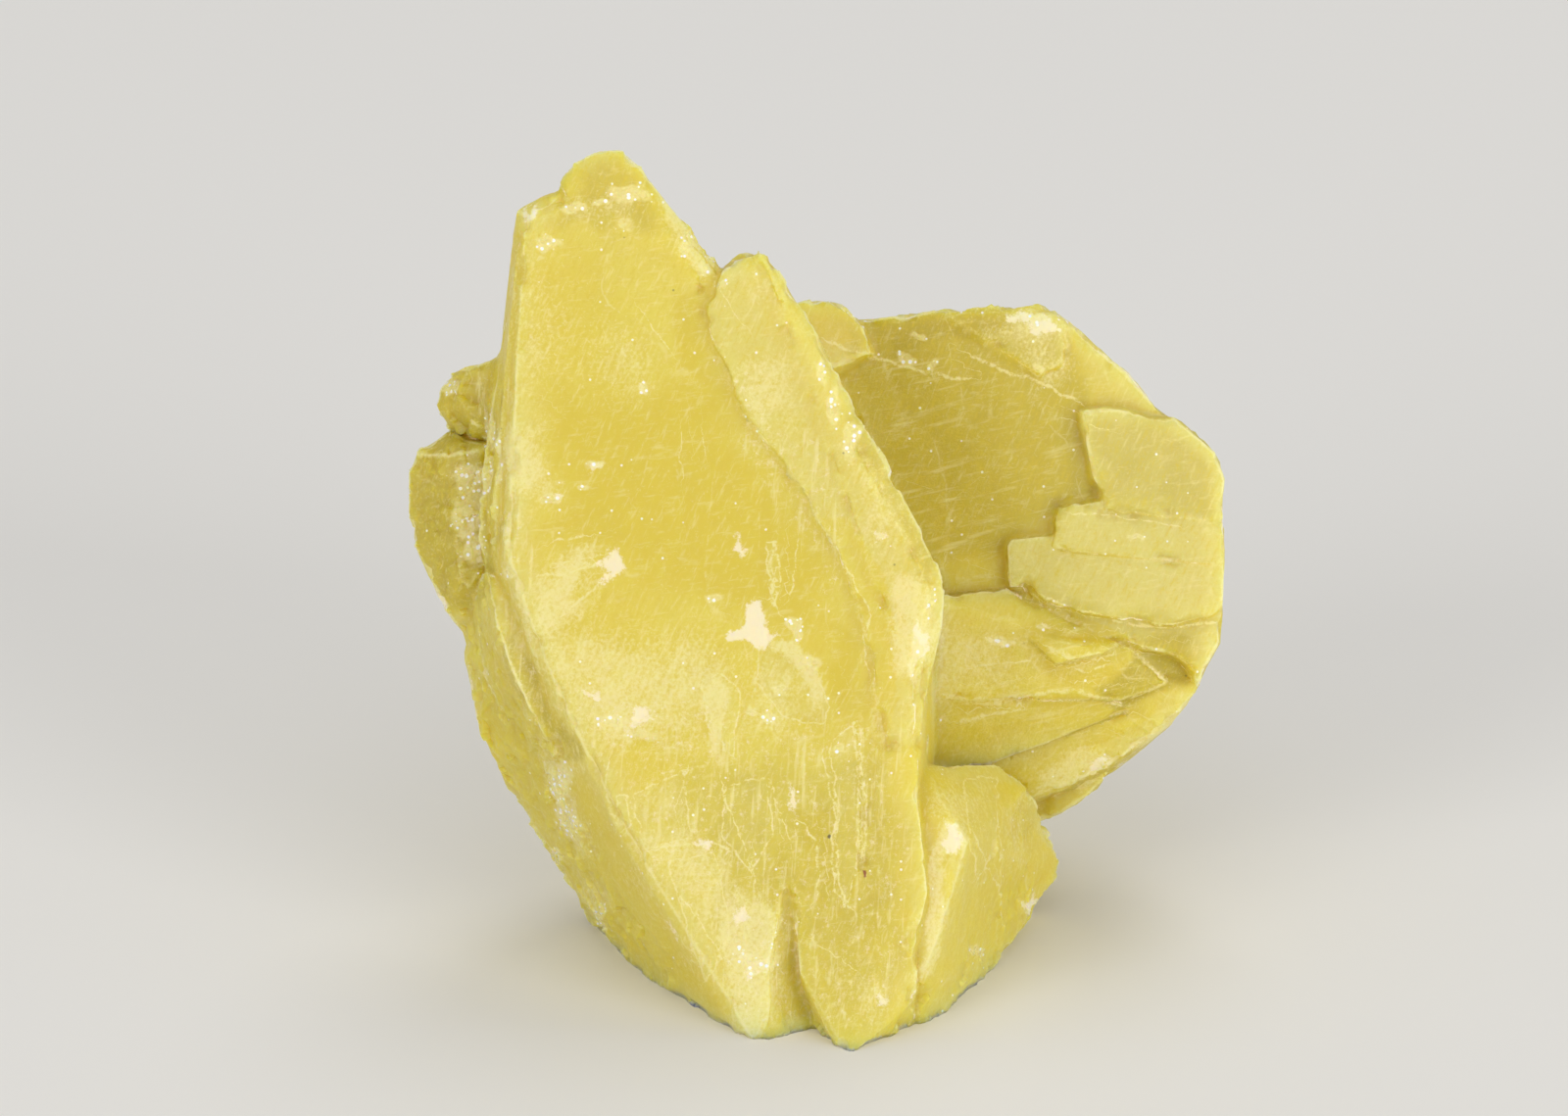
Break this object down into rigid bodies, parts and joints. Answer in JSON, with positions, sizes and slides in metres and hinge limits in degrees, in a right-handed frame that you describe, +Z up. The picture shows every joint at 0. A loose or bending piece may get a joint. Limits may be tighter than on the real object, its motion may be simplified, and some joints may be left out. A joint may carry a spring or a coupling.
{
  "type": "native sulfur crystal cluster",
  "caption": "Intergrown tabular crystals of lemon-yellow native sulfur, broken off flat underneath so that the cluster stands upright.",
  "frame": {"origin": "centre of the box around the cluster, on the level break that it stands on", "axes": "+Z up, -Y towards the viewer, where the big flat face looks, +X to the viewer's right, where the second large crystal stands back"},
  "size_m": [0.0418, 0.0358, 0.0412],
  "materials": {
    "sulfur": "milky, waxy to resinous lemon yellow, with frosted scratches and pale broken edges"
  },
  "bodies": {
    "root": {"sulfur_crystal": "sulfur"}
  },
  "joints": []
}
